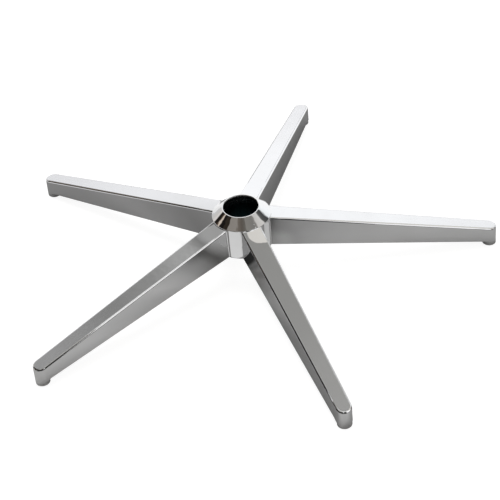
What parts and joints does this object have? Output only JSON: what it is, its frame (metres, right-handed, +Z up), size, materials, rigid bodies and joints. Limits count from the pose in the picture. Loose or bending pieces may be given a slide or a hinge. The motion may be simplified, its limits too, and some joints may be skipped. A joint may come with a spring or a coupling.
{
  "type": "office chair five star base",
  "caption": "Mirror-bright cast chair base: sloping hub collar with a column bore, and tapering legs that end in round feet with caster stem sockets.",
  "frame": {"origin": "centre of the hub's top rim, on the axis of the column bore", "axes": "+Z up out of the column bore, +X along the first leg"},
  "size_m": [0.6555, 0.6882, 0.1055],
  "materials": {
    "bright_metal": "mirror polished outside, as cast inside the hollows, dark in the bore"
  },
  "bodies": {
    "root": {"star_base": "bright_metal"}
  },
  "joints": []
}
